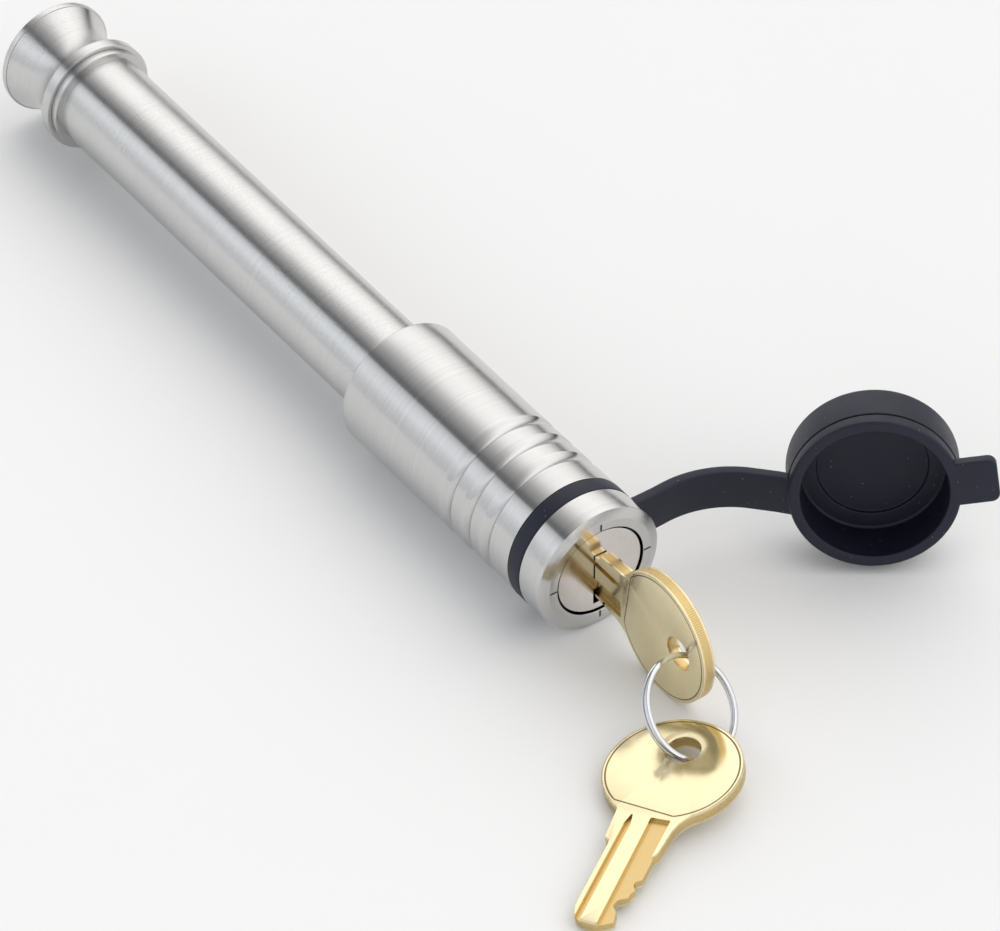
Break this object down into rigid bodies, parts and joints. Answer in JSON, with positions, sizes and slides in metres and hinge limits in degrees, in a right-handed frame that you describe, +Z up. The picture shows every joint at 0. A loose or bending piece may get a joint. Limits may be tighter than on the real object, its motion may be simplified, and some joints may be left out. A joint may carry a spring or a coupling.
{
  "type": "hitch pin lock",
  "caption": "Straight hitch pin with a flared grip and a key-operated lock head, a rubber dust cap on a strap, and two flat keys on a split ring.",
  "frame": {"origin": "on the pin's axis at the middle of its bare span", "axes": "+X along the pin's axis towards the key face, +Z up as it lies, keyway upright"},
  "size_m": [0.2073, 0.0988, 0.0275],
  "materials": {
    "stainless": "satin turned",
    "steel_inner": "machined",
    "plug_face": "polished",
    "brass": "polished",
    "spring_steel": "polished",
    "rubber": "matt moulded",
    "seal": "matt"
  },
  "bodies": {
    "lock_head": {"head_shell": "stainless", "pin_seal": "seal", "jaw_guide": "steel_inner", "guide_ring": "steel_inner", "cylinder_sleeve": "steel_inner", "cap_band": "rubber"},
    "pin": {"hitch_pin": "stainless"},
    "cylinder_plug": {"plug": "plug_face", "plug_clip": "steel_inner", "scroll_cam": "steel_inner", "wafer_spring_1": "spring_steel", "wafer_spring_2": "spring_steel", "wafer_spring_3": "spring_steel", "wafer_spring_4": "spring_steel"},
    "jaw_left": {"jaw_left": "steel_inner"},
    "jaw_right": {"jaw_right": "steel_inner"},
    "key": {"key": "brass"},
    "ring": {"split_ring": "spring_steel"},
    "spare_key": {"spare_key": "brass"},
    "strap": {"strap": "rubber"},
    "cap": {"dust_cap": "rubber"},
    "wafer_1": {"wafer_1": "brass"},
    "wafer_2": {"wafer_2": "brass"},
    "wafer_3": {"wafer_3": "brass"},
    "wafer_4": {"wafer_4": "brass"}
  },
  "joints": [
    {"name": "pin_slide", "type": "slide", "parent": "lock_head", "child": "pin", "axis": [-1, 0, 0], "range_m": [0, 0.13]},
    {"name": "plug_turn", "type": "hinge", "parent": "lock_head", "child": "cylinder_plug", "pos_m": [0, 0, 0], "axis": [-1, 0, 0], "range_deg": [0, 90]},
    {"name": "jaw_left_slide", "type": "slide", "parent": "lock_head", "child": "jaw_left", "axis": [0, -1, 0], "range_m": [0, 0.0015]},
    {"name": "jaw_right_slide", "type": "slide", "parent": "lock_head", "child": "jaw_right", "axis": [0, 1, 0], "range_m": [0, 0.0015]},
    {"name": "key_slide", "type": "slide", "parent": "cylinder_plug", "child": "key", "axis": [1, 0, 0], "range_m": [0, 0.018]},
    {"name": "ring_swing", "type": "hinge", "parent": "key", "child": "ring", "pos_m": [0.1164, 0.0001, -0.00045], "axis": [0, 1, 0], "range_deg": [-30, 30]},
    {"name": "spare_swing", "type": "hinge", "parent": "ring", "child": "spare_key", "pos_m": [0.12354, -0.00386, -0.00453], "axis": [0.6692, 0.2149, 0.7113], "range_deg": [-60, 25]},
    {"name": "strap_flex", "type": "hinge", "parent": "lock_head", "child": "strap", "pos_m": [0.08865, 0.015, 0], "axis": [0, 0, 1], "range_deg": [-25, 40], "stiffness_Nm_per_rad": 0.004},
    {"name": "cap_flex", "type": "hinge", "parent": "strap", "child": "cap", "pos_m": [0.09748, 0.03173, 0], "axis": [0, 0, 1], "range_deg": [-30, 45], "stiffness_Nm_per_rad": 0.004},
    {"name": "wafer_1_lift", "type": "slide", "parent": "cylinder_plug", "child": "wafer_1", "axis": [0, 0, 1], "range_m": [0, 0.0006], "deforming": ["wafer_spring_1"]},
    {"name": "wafer_2_lift", "type": "slide", "parent": "cylinder_plug", "child": "wafer_2", "axis": [0, 0, 1], "range_m": [0, 0.0005], "deforming": ["wafer_spring_2"]},
    {"name": "wafer_3_lift", "type": "slide", "parent": "cylinder_plug", "child": "wafer_3", "axis": [0, 0, 1], "range_m": [0, 0.0018], "deforming": ["wafer_spring_3"]},
    {"name": "wafer_4_lift", "type": "slide", "parent": "cylinder_plug", "child": "wafer_4", "axis": [0, 0, 1], "range_m": [0, 0.001], "deforming": ["wafer_spring_4"]}
  ],
  "couplings": [
    {"joint": "jaw_left_slide", "follows": "plug_turn", "m_per_rad": 0.00095493},
    {"joint": "jaw_right_slide", "follows": "plug_turn", "m_per_rad": 0.00095493}
  ]
}
